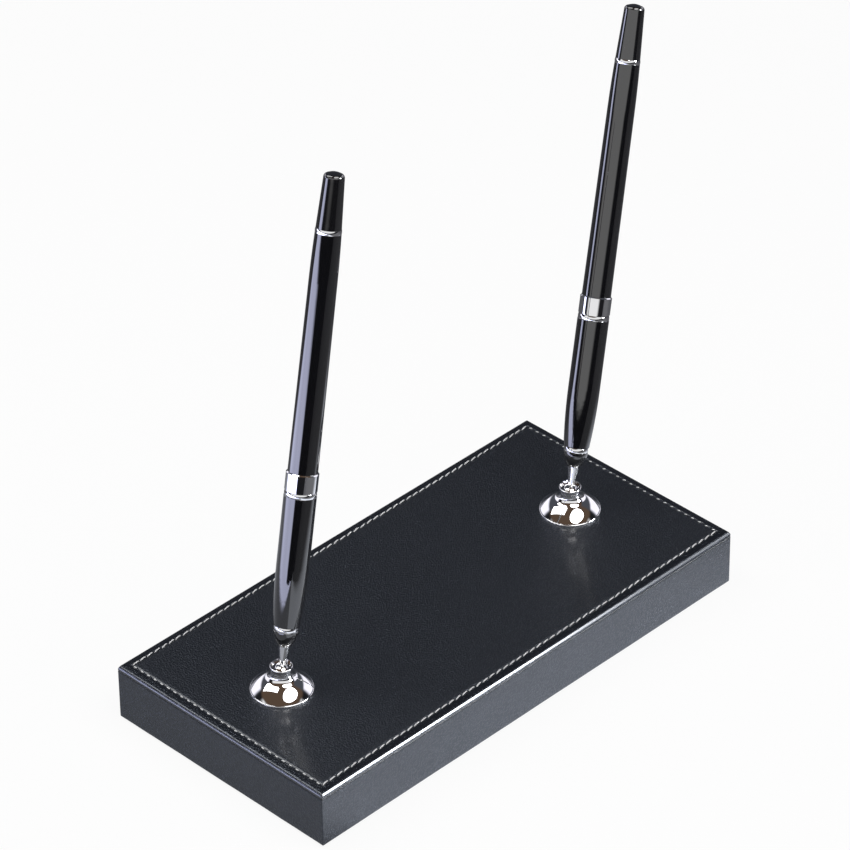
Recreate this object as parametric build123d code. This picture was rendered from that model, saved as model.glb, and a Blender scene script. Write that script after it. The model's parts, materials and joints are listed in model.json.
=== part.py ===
from build123d import *
import os
from math import cos, pi, radians, sqrt, tan

# Desk pen stand: a leather covered block with two chrome swivel holders and two desk pens.
# Millimetres. X runs along the block, Y from its front edge to its back edge, Z up.
# The origin is the centre of the underside, on the felt.

# Block, over the leather
base_length = 203.0
base_width = 100.0
base_height = 22.6
felt_thickness = 0.9
felt_inset = 3.0
felt_corner = 3.0
board_chamfer = 0.5
side_leather = 1.3
turned_leather = 0.7
turned_width = 9.0
side_edge_radius = 0.6
corner_seam_radius = 0.35
top_leather = 1.6
panel_crown = 0.8
border_width = 3.1
top_edge_radius = 0.6
top_under_radius = 0.45
top_corner_radius = 0.8
crease_inset = 3.65
crease_width = 0.9
crease_depth = 0.25

# From a short side to the middle of its holder
holder_inset = 30.1

# Holder: heights are measured from the top leather
ball_height = 7.0
ball_radius = 3.35
ball_clearance = 0.08
ball_capture = 0.55
collar_wall = 0.55
collar_height = 1.5
collar_foot_drop = 0.28
throat_land = 0.08
mouth_flare = 0.8
lip_radius = 0.35
neck_undercut = 0.22
bell_break_inset = 0.33
bell_break_height = 4.6
bell_bulge = 0.3
dome_radius = 11.0
dome_lip_height = 0.35
dome_lip_width = 0.45
dome_lip_rise = 0.4
dome_wall = 1.2
ceiling_drop = 1.6
thread_wall = 1.2
boss_wall = 1.4
boss_gap = 0.2
plug_gap = 0.4
plug_slot_width = 1.0
plug_slot_depth = 0.7
spring_thickness = 0.3
spring_cone = 0.25
spring_bore = 1.5
spring_clearance = 0.3
seat_floor = 0.25
seat_gap = 0.05
seat_rim = 1.75
seat_bore = 1.3
seat_clearance = 0.06

# Fastening under the block
stud_radius = 2.5
stud_clearance = 0.25
stud_end = 1.2
counterbore_radius = 8.0
counterbore_depth = 9.0
washer_radius = 7.0
washer_thickness = 1.0
nut_across_flats = 8.0
nut_height = 4.0
nut_sides = 6
nut_chamfer = 0.5
nut_chamfer_angle = 30.0

# Pen: lengths run up its axis from the middle of the ball
point_reach = 2.05
point_gap = 0.06
tip_reach = 1.4
tip_shank_end = 2.6
tip_clearance = 0.06
mouth_radius = 1.75
mouth_depth = 1.2
nose_at = 9.6
nose_length = 5.6
nose_ring_height = 1.7
lower_length = 46.3
centre_ring_height = 1.7
band_height = 6.8
band_groove = 0.4
upper_length = 82.9
end_ring_height = 1.6
end_cap_length = 19.4

# Pen radii, from the point to the top, and the heights of their steps
point_radius = 0.35
refill_nose_radius = 0.6
refill_radius = 1.6
refill_shoulder = 1.5
refill_length = 110.0
tip_radius = 1.0
tip_lead = 0.6
tip_flare = 0.15
tip_flare_height = 1.0
tip_top_radius = 2.05
tip_bore_clearance = 0.05
tip_spigot_radius = 1.7
tip_spigot_length = 3.0
nose_small_radius = 2.25
nose_radius = 4.35
nose_edge = 0.25
nose_shank_radius = 3.4
nose_shank_length = 6.5
nose_ring_radius = 4.3
lower_small_radius = 4.6
lower_radius = 5.65
lower_draw_height = 21.2
lower_edge = 0.3
lower_socket_taper = 3.0
centre_ring_radius = 5.6
band_proud = 0.45
band_step = 0.45
band_bevel = 0.35
band_gap = 0.05
upper_radius = 5.2
upper_bend_radius = 4.87
upper_bend_height = 66.3
upper_small_radius = 4.5
upper_bore_step = 1.0
end_ring_radius = 4.55
cap_radius = 4.4
cap_small_radius = 3.6
cap_dome_height = 1.9
cap_corner = 1.3
cap_crown = 0.5
cap_shank_wall = 1.3
cap_wall = 4.0
cap_shank_length = 8.0
barrel_wall = 0.8
ring_bulge = 0.12

# Screwed joint in the middle of the pen
insert_cover = 0.82
insert_wall = 0.45
insert_length = 14.0
sleeve_clearance = 0.08
sleeve_wall = 0.95
sleeve_flange_step = 0.3
sleeve_flange_length = 7.0
sleeve_thread_length = 7.6
sleeve_thread_lead = 0.4

# How far each pen leans from upright, and which way it leans, turned from +X towards +Y
pen_lean = {"left": 20.0, "right": 26.0}
pen_azimuth = {"left": 24.6, "right": 27.0}

# Levels of the block
board_bottom = felt_thickness
board_top = base_height - top_leather
top_height = base_height + panel_crown
holder_offset = base_length / 2 - holder_inset
holder_place = {"left": -holder_offset, "right": holder_offset}
stud_hole_radius = stud_radius + stud_clearance
counterbore_top = board_bottom + counterbore_depth

# Holder sizes that follow from the ball
pocket_radius = ball_radius + ball_clearance
throat_radius = ball_radius - ball_capture
collar_radius = pocket_radius + collar_wall
throat_height = ball_height + sqrt(pocket_radius ** 2 - throat_radius ** 2)
neck_top = throat_height - collar_foot_drop
collar_top = neck_top + collar_height
thread_radius = pocket_radius + thread_wall
boss_radius = thread_radius + boss_wall
bell_break_radius = boss_radius - bell_break_inset
seat_bottom = ball_height - ball_radius - seat_floor
seat_top = ball_height - seat_rim
spring_height = 2 * (spring_thickness + spring_cone)
plug_top = seat_bottom - seat_gap - spring_height

# Stations up the pen
nose_ring_at = nose_at + nose_length
lower_at = nose_ring_at + nose_ring_height
centre_ring_at = lower_at + lower_length
band_at = centre_ring_at + centre_ring_height
upper_at = band_at + band_height
end_ring_at = upper_at + upper_length
end_cap_at = end_ring_at + end_ring_height
pen_top = end_cap_at + end_cap_length

# Bores and band up the pen
band_radius = upper_radius + band_proud
tip_bore_radius = refill_nose_radius + tip_bore_clearance
refill_bore_radius = tip_spigot_radius
insert_radius = upper_radius - insert_cover
insert_bore_radius = insert_radius - insert_wall
sleeve_radius = insert_bore_radius - sleeve_clearance
sleeve_bore_radius = sleeve_radius - sleeve_wall
sleeve_flange_radius = sleeve_radius + sleeve_flange_step
cap_shank_radius = upper_small_radius - barrel_wall
cap_bore_radius = cap_shank_radius - cap_shank_wall
nose_end = nose_ring_at + nose_shank_length
spigot_end = nose_at + tip_spigot_length


def at(radius, height):
    """A point of a turned outline: its distance from the axis and its height."""
    return Vector(radius, 0, height)


def path(*points):
    """Straight outline through the points."""
    return [Line(at(*a), at(*b)) for a, b in zip(points, points[1:])]


def bow(start, end, bulge):
    """Arc going up from one point to the next, which stands out by the bulge at its middle."""
    along, up = end[0] - start[0], end[1] - start[1]
    share = bulge / sqrt(along ** 2 + up ** 2)
    middle = at((start[0] + end[0]) / 2 + share * up, (start[1] + end[1]) / 2 - share * along)
    return ThreePointArc(at(*start), middle, at(*end))


def flowing(first, end):
    """Arc that carries on smoothly from the end of the first one."""
    return TangentArc(first @ 1, at(*end), tangent=first % 1)


def turned(*edges):
    """Solid of revolution about Z from a closed outline."""
    return revolve(make_face(Curve() + list(edges)), Axis.Z)


def tube(outer, inner, low, high):
    """Straight tube, or a rod where the inner radius is 0."""
    return turned(*path((inner, low), (outer, low), (outer, high), (inner, high), (inner, low)))


def ring(outer, inner, low, high):
    """Trim ring with a softly rounded outside."""
    edge = outer - ring_bulge
    rim = bow((edge, low), (edge, high), ring_bulge)
    return turned(rim, *path((edge, high), (inner, high), (inner, low), (edge, low)))


def save(part, node):
    part.label = node
    export_step(part, os.path.join("parts", node + ".step"))


# Block

def base_board():
    """Board under the leather, rebated below for the turned leather and bored for the studs."""
    board = Pos(0, 0, board_bottom) * Box(
        base_length - 2 * side_leather, base_width - 2 * side_leather, board_top - board_bottom,
        align=(Align.CENTER, Align.CENTER, Align.MIN))
    board = chamfer(board.edges().group_by(Axis.Z)[-1], board_chamfer)
    flat_length = base_length - 2 * (side_leather + turned_width)
    flat_width = base_width - 2 * (side_leather + turned_width)
    frame = Pos(0, 0, board_bottom) * (
        Box(base_length, base_width, turned_leather, align=(Align.CENTER, Align.CENTER, Align.MIN))
        - Box(flat_length, flat_width, turned_leather, align=(Align.CENTER, Align.CENTER, Align.MIN)))
    board -= frame
    for side in (-1, 1):
        hole = Cylinder(stud_hole_radius, base_height, align=(Align.CENTER, Align.CENTER, Align.MIN))
        well = Pos(0, 0, board_bottom) * Cylinder(
            counterbore_radius, counterbore_depth, align=(Align.CENTER, Align.CENTER, Align.MIN))
        board -= Pos(side * holder_offset, 0, 0) * (hole + well)
    return board


def side_strip(length, depth):
    """Leather down one side and turned under the board, mitred and rolled in at both corners.

    The side faces -Y, and depth is the distance across the block to the opposite side."""
    outer = -depth / 2
    inner = outer + side_leather
    under = inner + turned_width
    fold = board_bottom + turned_leather
    outline = Polyline(
        (0, outer, board_bottom), (0, under, board_bottom), (0, under, fold), (0, inner, fold),
        (0, inner, board_top), (0, outer, board_top), close=True)
    strip = extrude(make_face(outline), length / 2, dir=(1, 0, 0), both=True)
    outer_edges = strip.edges().filter_by(Axis.X).sort_by(Axis.Y)[:2]
    strip = fillet(outer_edges, side_edge_radius)
    reach = length / 2
    plan = make_face(Polyline((-reach, outer), (reach, outer), (0, outer + reach), close=True))
    plan = fillet(plan.vertices().sort_by(Axis.Y)[:2], corner_seam_radius)
    return strip & extrude(plan, base_height)


def top_panel():
    """Padded leather panel, sloping down to its rolled edges, with the crease that its stitches lie in."""
    outline = RectangleRounded(base_length, base_width, top_corner_radius)
    field = RectangleRounded(base_length - 2 * border_width, base_width - 2 * border_width, top_corner_radius)
    thickness = top_leather + panel_crown
    plate = extrude(outline, top_leather)
    plate += loft([Pos(0, 0, top_leather) * outline, Pos(0, 0, thickness) * field], ruled=True)
    plate = fillet(plate.edges().filter_by_position(Axis.Z, top_leather, top_leather), top_edge_radius)
    plate = fillet(plate.edges().group_by(Axis.Z)[0], top_under_radius)
    near = crease_inset - crease_width / 2
    far = crease_inset + crease_width / 2
    crease = Rectangle(base_length - 2 * near, base_width - 2 * near)
    crease -= Rectangle(base_length - 2 * far, base_width - 2 * far)
    plate -= Pos(0, 0, thickness - crease_depth) * extrude(crease, crease_depth)
    for side in (-1, 1):
        plate -= Pos(side * holder_offset, 0, thickness / 2) * Cylinder(stud_hole_radius, thickness)
    return Pos(0, 0, board_top) * plate


def underside_felt():
    """Felt pad that the stand rests on."""
    pad = RectangleRounded(base_length - 2 * felt_inset, base_width - 2 * felt_inset, felt_corner)
    return extrude(pad, felt_thickness)


# Swivel holder, made with the top leather at height 0 and its axis on Z

def holder_cup():
    """Chrome dome with a neck that the ball stands in, and a threaded boss under it."""
    neck_radius = collar_radius - neck_undercut
    rim = (dome_radius, dome_lip_height)
    shoulder = (dome_radius - dome_lip_width, dome_lip_height + dome_lip_rise)
    bell = bow(shoulder, (bell_break_radius, bell_break_height), bell_bulge)
    flare = flowing(bell, (neck_radius, neck_top - neck_undercut))
    ceiling = bell_break_height - ceiling_drop
    return turned(
        *path((thread_radius, boss_gap), (thread_radius, plug_top), (pocket_radius, plug_top),
              (pocket_radius, neck_top), (neck_radius, neck_top), (neck_radius, neck_top - neck_undercut)),
        flare,
        bell,
        TangentArc(at(*rim), at(*shoulder), tangent=at(0, 1)),
        *path(rim, (dome_radius, 0), (dome_radius - dome_wall, 0),
              (boss_radius, ceiling), (boss_radius, boss_gap), (thread_radius, boss_gap)))


def ball_collar():
    """Ring brazed on the neck, dished inside to hold the ball in and flared for the pen to lean."""
    foot = (sqrt(pocket_radius ** 2 - (neck_top - ball_height) ** 2), neck_top)
    throat = (throat_radius, throat_height)
    mouth = (throat_radius + mouth_flare, collar_top)
    rim = (collar_radius, collar_top - lip_radius)
    uphill = at(ball_height - neck_top, foot[0])
    return turned(
        TangentArc(at(*foot), at(*throat), tangent=uphill),
        *path(throat, (throat_radius, throat_height + throat_land), mouth),
        TangentArc(at(*mouth), at(*rim), tangent=at(1, 0)),
        *path(rim, (collar_radius, neck_top), foot))


def holder_plug():
    """Screwed plug that closes the cup, with the stud that goes down through the block."""
    nut_bottom = counterbore_top - top_height - washer_thickness - nut_height
    plug = tube(thread_radius, 0, plug_gap, plug_top)
    plug += tube(stud_radius, 0, nut_bottom - stud_end, plug_gap)
    slot = Box(2 * thread_radius, plug_slot_width, plug_slot_depth)
    return plug - Pos(0, 0, plug_top - plug_slot_depth / 2) * slot


def spring_washers():
    """Two cone washers set face to face, which press the seat against the ball."""
    outer = pocket_radius - spring_clearance
    low = plug_top
    middle = low + spring_height / 2
    lower = path((spring_bore, low), (outer, low + spring_cone), (outer, middle),
                 (spring_bore, low + spring_thickness), (spring_bore, low))
    cone = turned(*lower)
    return [cone, mirror(cone, Plane.XY.offset(middle))]


def ball_seat():
    """Nylon seat, dished to the ball."""
    seat = tube(pocket_radius - seat_clearance, seat_bore, seat_bottom, seat_top)
    return seat - Pos(0, 0, ball_height) * Sphere(ball_radius + seat_clearance)


def nut():
    """Hexagon nut with turned corners."""
    corner = nut_across_flats / 2 / cos(pi / nut_sides)
    block = extrude(RegularPolygon(corner, nut_sides), nut_height)
    rise = nut_chamfer * tan(radians(nut_chamfer_angle))
    block &= turned(*path((0, 0), (corner - nut_chamfer, 0), (corner, rise), (corner, nut_height),
                          (0, nut_height), (0, 0)))
    return block - Cylinder(stud_radius, 2 * nut_height)


# Pen, made upright with the middle of the ball at the origin

def swivel_ball():
    """Ball with the blind hole that takes the pen's point."""
    hole = tip_radius + tip_clearance
    depth = point_reach + point_gap
    mouth = ball_radius - mouth_depth
    bore = turned(*path((0, -depth), (hole, -depth), (hole, mouth), (mouth_radius, ball_radius),
                        (0, ball_radius), (0, -depth)))
    return Sphere(ball_radius) - bore


def refill():
    """Ink tube with its brass nose and point."""
    top = refill_length - point_reach
    return turned(*path(
        (0, -point_reach), (point_radius, -point_reach), (refill_nose_radius, -tip_reach),
        (refill_nose_radius, spigot_end), (refill_radius, spigot_end + refill_shoulder),
        (refill_radius, top), (0, top), (0, -point_reach)))


def writing_tip():
    """Chrome cone whose slim end stands in the ball."""
    return turned(*path(
        (tip_bore_radius, -tip_reach), (tip_radius, tip_lead - tip_reach), (tip_radius, tip_shank_end),
        (tip_radius + tip_flare, tip_shank_end + tip_flare_height), (tip_top_radius, nose_at),
        (tip_spigot_radius, nose_at), (tip_spigot_radius, spigot_end), (tip_bore_radius, spigot_end),
        (tip_bore_radius, -tip_reach)))


def nose():
    """Black rounded nose with the shank that holds it in the lower barrel."""
    foot = (nose_small_radius, nose_at + nose_edge)
    bullet = TangentArc(at(nose_radius, nose_ring_at), at(*foot), tangent=at(0, -1))
    return turned(
        bullet,
        *path((nose_radius, nose_ring_at), (nose_shank_radius, nose_ring_at), (nose_shank_radius, nose_end),
              (refill_bore_radius, nose_end), (refill_bore_radius, nose_at),
              (nose_small_radius - nose_edge, nose_at), foot))


def lower_barrel():
    """Lacquered lower tube, straight above and drawn in to the nose ring in one long curve."""
    foot = (lower_small_radius, lower_at + lower_edge)
    draw_in = TangentArc(at(lower_radius, lower_at + lower_draw_height), at(*foot), tangent=at(0, -1))
    socket_bottom = centre_ring_at - sleeve_flange_length
    bore = lower_radius - barrel_wall
    return turned(
        draw_in,
        *path(foot, (lower_small_radius - lower_edge, lower_at), (nose_shank_radius, lower_at),
              (nose_shank_radius, nose_end), (bore, lower_at + lower_draw_height),
              (bore, socket_bottom - lower_socket_taper), (sleeve_flange_radius, socket_bottom),
              (sleeve_flange_radius, centre_ring_at), (lower_radius, centre_ring_at),
              (lower_radius, lower_at + lower_draw_height)))


def thread_sleeve():
    """Brass sleeve pressed in the lower barrel, whose upper end screws into the upper one."""
    bottom = centre_ring_at - sleeve_flange_length
    thread_top = band_at + sleeve_thread_length
    return turned(*path(
        (sleeve_bore_radius, bottom), (sleeve_flange_radius, bottom),
        (sleeve_flange_radius, centre_ring_at), (sleeve_radius, centre_ring_at),
        (sleeve_radius, thread_top - sleeve_thread_lead), (sleeve_radius - sleeve_thread_lead, thread_top),
        (sleeve_bore_radius, thread_top), (sleeve_bore_radius, bottom)))


def centre_band():
    """Wide chrome band, stepped at its lower end so that a dark groove shows there."""
    low = band_at + band_gap
    groove_radius = band_radius - band_step
    return turned(*path(
        (insert_radius, low), (groove_radius, low), (groove_radius, low + band_groove),
        (band_radius, low + band_groove), (band_radius, upper_at - band_bevel),
        (band_radius - band_bevel, upper_at), (insert_radius, upper_at), (insert_radius, low)))


def upper_barrel():
    """Lacquered upper tube, with a long taper that quickens near its top ring."""
    long_taper = Line(at(upper_radius, upper_at), at(upper_bend_radius, upper_at + upper_bend_height))
    quick_taper = flowing(long_taper, (upper_small_radius, end_ring_at))
    insert_top = band_at + insert_length
    shank_bottom = end_ring_at - cap_shank_length
    bore = upper_bend_radius - barrel_wall
    return turned(
        long_taper,
        quick_taper,
        *path((upper_small_radius, end_ring_at), (cap_shank_radius, end_ring_at),
              (cap_shank_radius, shank_bottom), (bore, shank_bottom - upper_bore_step),
              (bore, insert_top + upper_bore_step), (insert_radius, insert_top), (insert_radius, upper_at),
              (upper_radius, upper_at)))


def end_cap():
    """Tapered top with a rounded end, hollow inside, and the shank that plugs the barrel."""
    shank_bottom = end_ring_at - cap_shank_length
    shoulder = pen_top - cap_dome_height
    taper = Line(at(cap_radius, end_cap_at), at(cap_small_radius, shoulder))
    corner = (cap_small_radius - cap_corner, pen_top - cap_crown)
    round_off = flowing(taper, corner)
    crown = TangentArc(at(0, pen_top), at(*corner), tangent=at(1, 0))
    ceiling = pen_top - cap_wall
    return turned(
        taper,
        round_off,
        crown,
        *path((0, pen_top), (0, ceiling), (cap_bore_radius, ceiling - cap_bore_radius),
              (cap_bore_radius, shank_bottom), (cap_shank_radius, shank_bottom),
              (cap_shank_radius, end_cap_at), (cap_radius, end_cap_at)))


def leaning(part, side):
    """Leans a piece of the pen about the middle of its ball and sets it on its holder."""
    return (Pos(holder_place[side], 0, top_height + ball_height)
            * Rot(0, 0, pen_azimuth[side]) * Rot(0, pen_lean[side], 0) * part)


def standing(part, side):
    """Sets a piece of the holder on the top leather."""
    return Pos(holder_place[side], 0, top_height) * part


holder_pieces = {
    "holder_cup": holder_cup(),
    "ball_collar": ball_collar(),
    "holder_plug": holder_plug(),
    "ball_seat": ball_seat(),
    "washer": tube(washer_radius, stud_radius, counterbore_top - top_height - washer_thickness,
                   counterbore_top - top_height),
    "nut": Pos(0, 0, counterbore_top - top_height - washer_thickness - nut_height) * nut(),
}

pen_pieces = {
    "swivel_ball": swivel_ball(),
    "refill": refill(),
    "writing_tip": writing_tip(),
    "nose": nose(),
    "nose_ring": ring(nose_ring_radius, nose_shank_radius, nose_ring_at, lower_at),
    "lower_barrel": lower_barrel(),
    "thread_sleeve": thread_sleeve(),
    "centre_ring": ring(centre_ring_radius, sleeve_radius, centre_ring_at, band_at),
    "centre_band": centre_band(),
    "barrel_insert": tube(insert_radius, insert_bore_radius, band_at + band_gap, band_at + insert_length),
    "upper_barrel": upper_barrel(),
    "end_ring": ring(end_ring_radius, cap_shank_radius, end_ring_at, end_cap_at),
    "end_cap": end_cap(),
}

os.makedirs("parts", exist_ok=True)

save(base_board(), "base_board")
save(top_panel(), "top_panel")
save(underside_felt(), "underside_felt")

long_strip = side_strip(base_length, base_width)
short_strip = side_strip(base_width, base_length)
save(long_strip, "front_leather")
save(Rot(0, 0, 180) * long_strip, "back_leather")
save(Rot(0, 0, 90) * short_strip, "right_leather")
save(Rot(0, 0, -90) * short_strip, "left_leather")

for side in ("left", "right"):
    for name, piece in holder_pieces.items():
        save(standing(piece, side), name + "_" + side)
    cones = [standing(cone, side) for cone in spring_washers()]
    save(Compound(children=cones), "spring_washers_" + side)
    for name, piece in pen_pieces.items():
        save(leaning(piece, side), name + "_" + side)

print("pen length", round(pen_top + point_reach, 2))
print("heights of the top leather and the balls", top_height, round(top_height + ball_height, 2))
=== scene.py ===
# %% [markdown]
# A desk pen stand is a low leather covered block with two chrome swivel holders, each with a pen in it.
# Its construction comes ready made as a frame of named pieces in metres, so this script only has to dress
# it: it gives every piece its finish, makes the leather and the felt again as finer surfaces, cuts the
# screw threads and sews the stitches. The frame is loaded first and its size is noted for later.

# %% Load the frame
import json
from math import cos, pi, radians, sin, tau

import bpy
import numpy as np
from mathutils import Matrix, Quaternion, Vector


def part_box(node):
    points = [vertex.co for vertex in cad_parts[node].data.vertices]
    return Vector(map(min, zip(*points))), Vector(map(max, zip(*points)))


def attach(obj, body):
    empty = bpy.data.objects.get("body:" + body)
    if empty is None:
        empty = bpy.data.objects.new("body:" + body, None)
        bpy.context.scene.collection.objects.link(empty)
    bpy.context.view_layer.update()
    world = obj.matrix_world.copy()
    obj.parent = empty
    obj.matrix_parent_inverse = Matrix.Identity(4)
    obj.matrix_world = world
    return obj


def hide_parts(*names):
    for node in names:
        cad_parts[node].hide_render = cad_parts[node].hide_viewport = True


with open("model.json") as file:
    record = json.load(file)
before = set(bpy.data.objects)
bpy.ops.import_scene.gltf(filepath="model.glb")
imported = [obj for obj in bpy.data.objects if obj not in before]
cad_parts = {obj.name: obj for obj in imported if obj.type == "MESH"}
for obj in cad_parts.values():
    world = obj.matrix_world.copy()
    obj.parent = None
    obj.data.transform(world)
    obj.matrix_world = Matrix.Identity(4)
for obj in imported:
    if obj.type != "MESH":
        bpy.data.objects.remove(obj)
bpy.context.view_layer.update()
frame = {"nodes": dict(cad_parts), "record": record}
nodes = frame["nodes"]
mm = 0.001
sides = ("left", "right")

# %% [markdown]
# The camera stands in front of the left corner and looks down at about 35 degrees with a long lens, which
# keeps the edges of the block almost parallel. Its place could be typed in as three numbers, but a bearing,
# a height angle and a distance are easier to read. The pixel where the middle of the underside lands says
# how far the view is slid sideways, so that no lens shift is needed. The level directions to the right of
# the view and towards the camera are kept, because the studio is laid out along them.

# %% Camera
view_azimuth = radians(-44.98)
view_elevation = radians(35.40)
view_roll = radians(-0.68)
view_distance = 1.752
lens_mm = 211.42
sensor_mm = 36.0
image_pixels = 850
origin_pixel = (430.0, 649.6)
camera_right = (cos(view_azimuth), sin(view_azimuth), 0.0)
toward_camera = (sin(view_azimuth), -cos(view_azimuth), 0.0)


def make_camera():
    """Camera whose axes come from the view angles: back points at it, right and up lie in the picture."""
    back = Vector((sin(view_azimuth) * cos(view_elevation), -cos(view_azimuth) * cos(view_elevation),
                   sin(view_elevation)))
    level = Vector(camera_right)
    upright = back.cross(level)
    right = cos(view_roll) * level + sin(view_roll) * upright
    up = cos(view_roll) * upright - sin(view_roll) * level
    metres_per_pixel = view_distance * sensor_mm / lens_mm / image_pixels
    slide_right = (origin_pixel[0] - image_pixels / 2) * metres_per_pixel
    slide_up = (image_pixels / 2 - origin_pixel[1]) * metres_per_pixel
    camera = bpy.data.cameras.new("camera")
    camera.lens = lens_mm
    camera.sensor_width = sensor_mm
    holder = bpy.data.objects.new("camera", camera)
    place = back * view_distance - right * slide_right - up * slide_up
    holder.matrix_world = Matrix.Translation(place) @ Matrix((right, up, back)).transposed().to_4x4()
    bpy.context.scene.collection.objects.link(holder)
    bpy.context.scene.camera = holder
    return holder


camera = make_camera()
bpy.context.scene.view_settings.view_transform = "Standard"
print("camera at", [round(v, 3) for v in camera.location])

# %% [markdown]
# Node materials are built from small steps, so a few helpers keep them short. One starts a material with
# its Principled shader and one adds a node with its settings. The others use it for what comes back in
# every finish: ramps, noise of a given grain, bumps of a given depth, products and blends of two colours.
# All patterns are laid out in metres on the object itself, so that they keep their size in any view.

# %% Material helpers


def start_material(name):
    """A new node material, its tree and its Principled shader."""
    material = bpy.data.materials.new(name)
    material.use_nodes = True
    return material, material.node_tree, material.node_tree.nodes["Principled BSDF"]


def add(tree, kind, inputs=None, **settings):
    """A node with its settings, whose inputs are plain values or the outputs of other nodes."""
    node = tree.nodes.new("ShaderNode" + kind)
    for name, value in settings.items():
        setattr(node, name, value)
    for name, value in (inputs or {}).items():
        if isinstance(value, bpy.types.NodeSocket):
            tree.links.new(value, node.inputs[name])
        else:
            node.inputs[name].default_value = value
    return node


def spread(tree, value, low, high):
    """Turns a value from 0 to 1 into one from low to high."""
    return add(tree, "MapRange", {"Value": value, "To Min": low, "To Max": high}).outputs["Result"]


def noise(tree, place, cell, detail=2.0, roughness=0.5):
    """Noise whose blobs are about one cell across, in metres."""
    return add(tree, "TexNoise", {"Vector": place, "Scale": 1 / cell, "Detail": detail,
                                  "Roughness": roughness}).outputs["Fac"]


def bump(tree, height, depth, strength=1.0, over=None):
    """Bump of the given depth in metres, laid over an earlier one."""
    inputs = {"Height": height, "Distance": depth, "Strength": strength}
    if over is not None:
        inputs["Normal"] = over
    return add(tree, "Bump", inputs).outputs["Normal"]


def place_of(tree):
    """Where a point lies on its own object, in metres."""
    return add(tree, "TexCoord").outputs["Object"]


def along_axis(tree, place, axis):
    """How far a point or a ray goes in a direction."""
    return add(tree, "VectorMath", {0: place, 1: axis}, operation="DOT_PRODUCT").outputs["Value"]


def fade(tree, value, low, high):
    """0 below low and 1 above high, with a soft S between them. With low above high it falls instead."""
    if low > high:
        ends = {"From Min": high, "From Max": low, "To Min": 1.0, "To Max": 0.0}
    else:
        ends = {"From Min": low, "From Max": high}
    return add(tree, "MapRange", {"Value": value, **ends}, interpolation_type="SMOOTHSTEP").outputs[0]


def times(tree, first, second):
    """Product of two values."""
    return add(tree, "Math", {0: first, 1: second}, operation="MULTIPLY").outputs[0]


def blend_colours(tree, share, low, high):
    """Colour that goes from low to high with the share. Each may be a colour or another node's output."""
    mix = add(tree, "Mix", data_type="RGBA")
    tree.links.new(share, mix.inputs["Factor"])
    for socket, colour in ((mix.inputs[6], low), (mix.inputs[7], high)):
        if isinstance(colour, bpy.types.NodeSocket):
            tree.links.new(colour, socket)
        else:
            socket.default_value = (*colour, 1)
    return mix.outputs[2]


# %% [markdown]
# The object stands on a white sweep in a small studio. A plain white sheet would show the camera the right
# background, but glossy things would mirror it as flat white too. So the floor is white in its own right
# for the camera, a small share of it takes the soft shadow under the block, and reflected rays see it in
# bands: a bright window's light far to the left, dim in the middle, bright beside the object, and dark far
# to the right and behind. Those bands draw the long stripes in the pens.

# %% Floor
floor_size = 6.0
floor_gap = 0.02 * mm
floor_white = (0.9, 0.9, 0.9, 1)
floor_roughness = 0.9
floor_shadow_share = 0.08
floor_glow = ((-0.44, (3.0, 3.1, 4.2)), (-0.28, (0.30, 0.31, 0.35)), (-0.038, (0.32, 0.335, 0.37)),
              (-0.016, (0.98, 1.03, 1.14)), (0.10, (0.98, 1.03, 1.14)), (0.20, (0.10, 0.10, 0.11)))
floor_behind = (0.05, 0.05, 0.06)
floor_behind_start, floor_behind_end = -0.06, -0.14


def make_floor():
    """Square sheet a hair below the underside, which can be seen through from below."""
    half = floor_size / 2
    mesh = bpy.data.meshes.new("floor")
    mesh.from_pydata([(x * half, y * half, -floor_gap) for x, y in ((-1, -1), (1, -1), (1, 1), (-1, 1))], [],
                     [(0, 1, 2, 3)])
    floor = bpy.data.objects.new("floor", mesh)
    bpy.context.scene.collection.objects.link(floor)
    material, tree, shader = start_material("white_sweep")
    shader.inputs["Base Color"].default_value = floor_white
    shader.inputs["Roughness"].default_value = floor_roughness
    rays = add(tree, "LightPath")
    seen = add(tree, "Math", {0: rays.outputs["Is Camera Ray"], 1: rays.outputs["Is Glossy Ray"]},
               operation="MAXIMUM")
    seen = add(tree, "Math", {0: seen.outputs[0], 1: rays.outputs["Is Transmission Ray"]},
               operation="MAXIMUM")
    share = times(tree, seen.outputs[0], 1 - floor_shadow_share)
    along = along_axis(tree, place_of(tree), camera_right)
    ahead = along_axis(tree, place_of(tree), toward_camera)
    colour = floor_glow[0][1]
    for (start, _), (end, tint) in zip(floor_glow, floor_glow[1:]):
        colour = blend_colours(tree, fade(tree, along, start, end), colour, tint)
    behind = fade(tree, ahead, floor_behind_start, floor_behind_end)
    colour = blend_colours(tree, behind, colour, floor_behind)
    colour = blend_colours(tree, rays.outputs["Is Camera Ray"], colour, (1.0, 1.0, 1.0))
    glow = add(tree, "Emission", {"Color": colour, "Strength": 1.0})
    mixed = add(tree, "MixShader", {0: share, 1: shader.outputs[0], 2: glow.outputs[0]})
    below = times(tree, add(tree, "NewGeometry").outputs["Backfacing"], rays.outputs["Is Camera Ray"])
    clear = add(tree, "BsdfTransparent")
    shown = add(tree, "MixShader", {0: below, 1: mixed.outputs[0], 2: clear.outputs[0]})
    tree.links.new(shown.outputs[0], tree.nodes["Material Output"].inputs["Surface"])
    mesh.materials.append(material)
    return floor


print("floor", make_floor().dimensions[:2])

# %% [markdown]
# The room round the object is what gives black lacquer and chrome their shape, because they show hardly
# anything else. It could be built from walls and furniture, but a world shader is simpler: each zone says
# how far a ray has to look up, towards the camera or sideways to see it, and later zones are painted over
# earlier ones. The soft edges of the zones are those of blurred furniture. Only reflected rays see them.
# The camera sees white, and to diffuse light the room is an even dim white that fills the shadows.

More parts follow.
